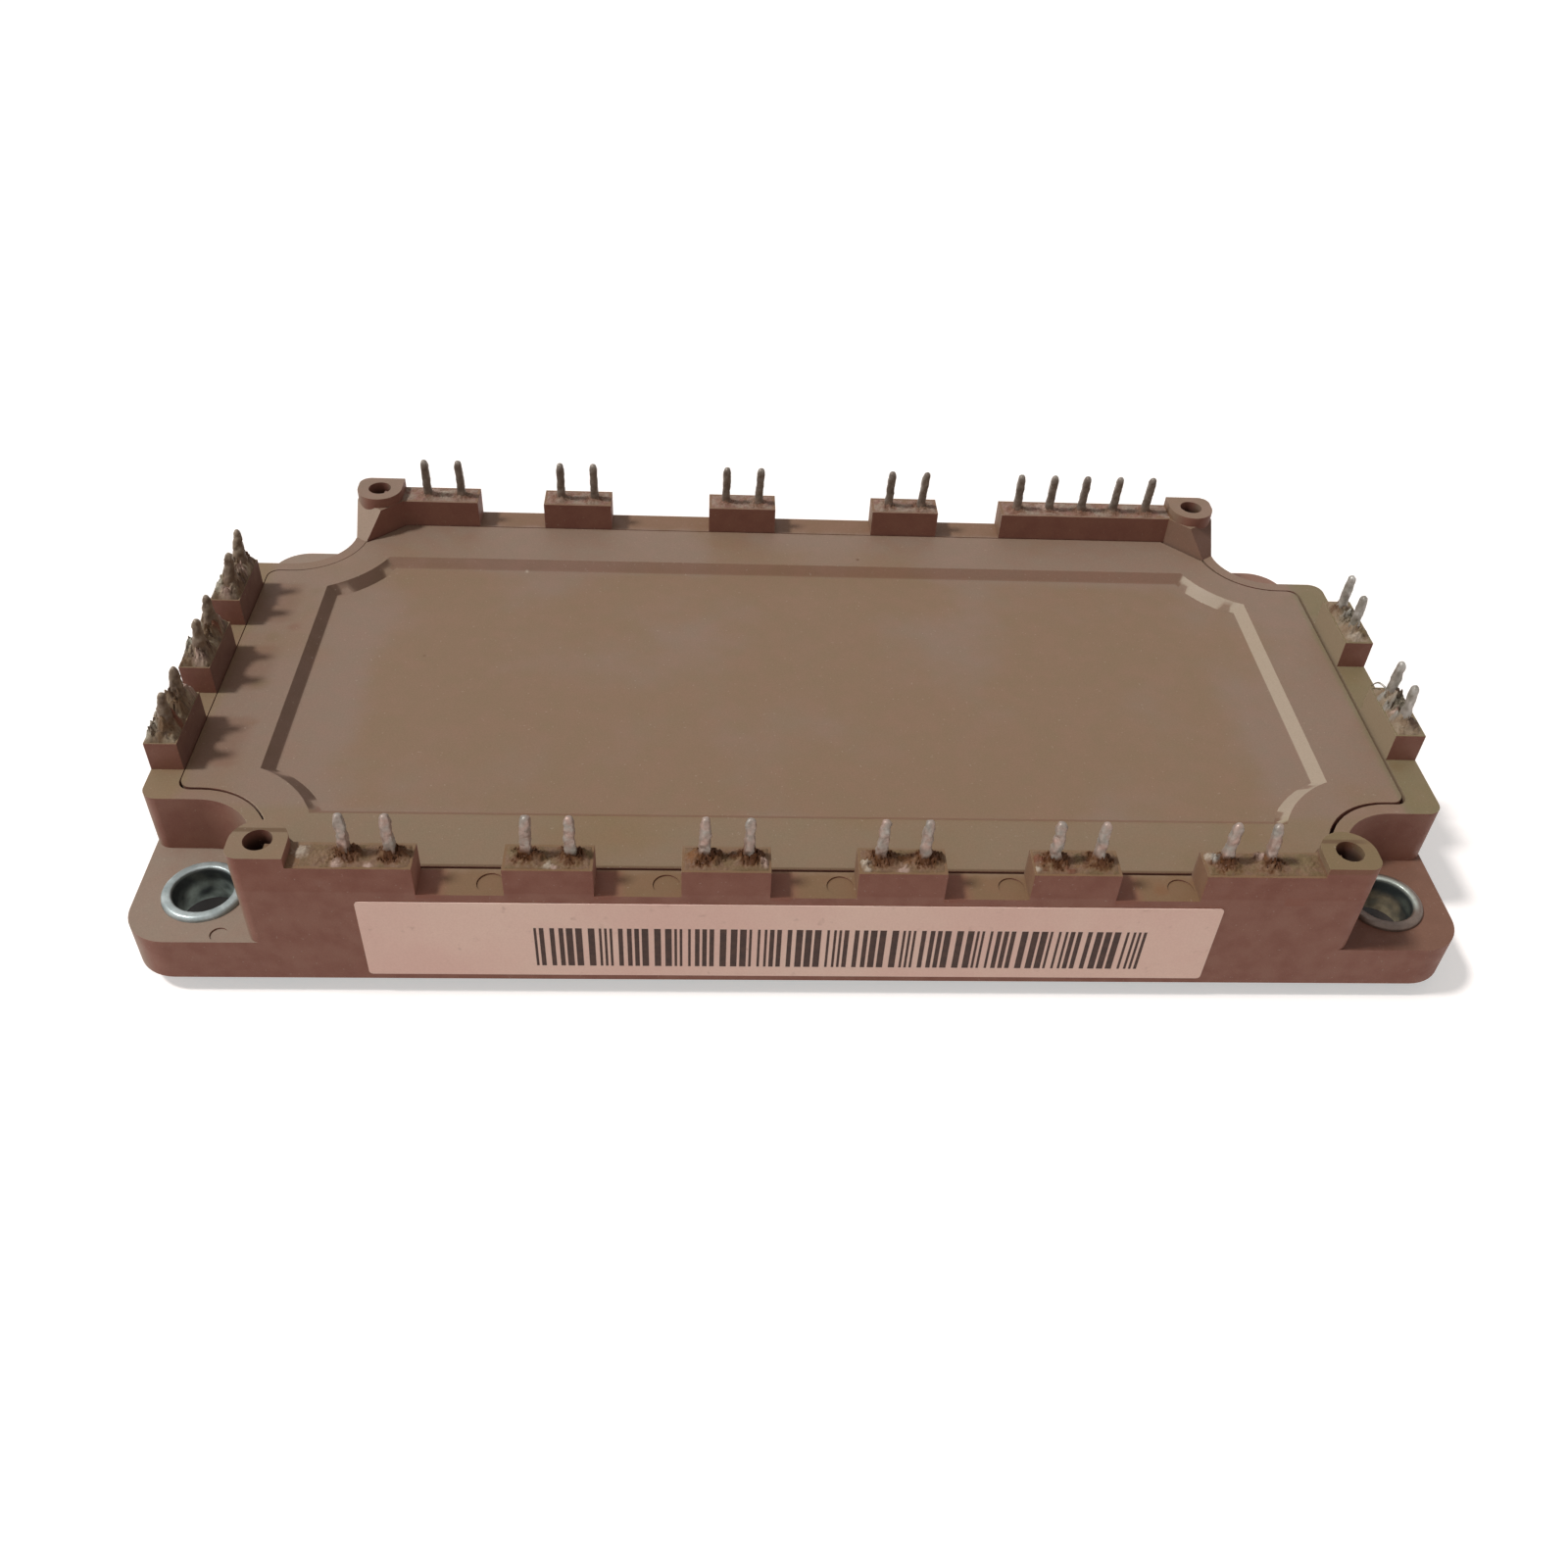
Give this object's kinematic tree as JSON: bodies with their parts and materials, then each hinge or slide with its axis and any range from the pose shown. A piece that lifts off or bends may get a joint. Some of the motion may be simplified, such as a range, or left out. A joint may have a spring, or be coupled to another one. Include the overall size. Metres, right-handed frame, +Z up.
{
  "type": "power semiconductor module",
  "caption": "Flat sealed power module: tan moulded case on a metal base plate, solder pins round the rim, inset lid, ear holes with metal bushings, screw standoffs.",
  "frame": {"origin": "centre of the base plate's underside, which is the face that meets the heatsink", "axes": "+Z up out of the lid, X along the long side, -Y towards the side with the label"},
  "size_m": [0.122, 0.0621, 0.0205],
  "materials": {
    "case_plastic": "moulded tan-brown thermoplastic, slightly glossy, stained by flux on the terminal blocks",
    "lid_plastic": "moulded tan-brown thermoplastic, fine matt grain",
    "base_metal": "nickel-plated copper plate, faint handling marks",
    "label_paper": "pale paper label with a printed bar pattern",
    "bushing_steel": "zinc-plated steel",
    "tinned_copper": "tinned copper, dulled and coated with old solder",
    "solder": "soft solder layer",
    "copper_foil": "bare copper foil",
    "ceramic": "white alumina",
    "silicon": "dark silicon chip",
    "bond_wire": "drawn aluminium wire",
    "gel": "clear soft silicone gel"
  },
  "bodies": {
    "root": {"base_plate": "base_metal", "case_frame": "case_plastic", "lid": "lid_plastic", "label": "label_paper", "bushing_1": "bushing_steel", "bushing_2": "bushing_steel", "bushing_3": "bushing_steel", "bushing_4": "bushing_steel", "power_terminal_near_1": "tinned_copper", "power_terminal_near_2": "tinned_copper", "power_terminal_near_3": "tinned_copper", "power_terminal_near_4": "tinned_copper", "power_terminal_near_5": "tinned_copper", "power_terminal_near_6": "tinned_copper", "power_terminal_left_1": "tinned_copper", "power_terminal_left_2": "tinned_copper", "power_terminal_left_3": "tinned_copper", "power_terminal_right_1": "tinned_copper", "power_terminal_right_2": "tinned_copper", "signal_pin_1": "tinned_copper", "signal_pin_2": "tinned_copper", "signal_pin_3": "tinned_copper", "signal_pin_4": "tinned_copper", "signal_pin_5": "tinned_copper", "signal_pin_6": "tinned_copper", "signal_pin_7": "tinned_copper", "signal_pin_8": "tinned_copper", "signal_pin_9": "tinned_copper", "signal_pin_10": "tinned_copper", "signal_pin_11": "tinned_copper", "signal_pin_12": "tinned_copper", "signal_pin_13": "tinned_copper", "solder_layer_left": "solder", "solder_layer_right": "solder", "bottom_foil_left": "copper_foil", "bottom_foil_right": "copper_foil", "ceramic_left": "ceramic", "ceramic_right": "ceramic", "top_foil_left": "copper_foil", "top_foil_right": "copper_foil", "igbt_chip_1": "silicon", "igbt_chip_2": "silicon", "igbt_chip_3": "silicon", "igbt_chip_4": "silicon", "igbt_chip_5": "silicon", "igbt_chip_6": "silicon", "igbt_chip_7": "silicon", "inverter_diodes": "silicon", "brake_diode": "silicon", "rectifier_diodes": "silicon", "thermistor": "silicon", "bond_wires_left": "bond_wire", "bond_wires_right": "bond_wire", "silicone_gel": "gel"}
  },
  "joints": []
}
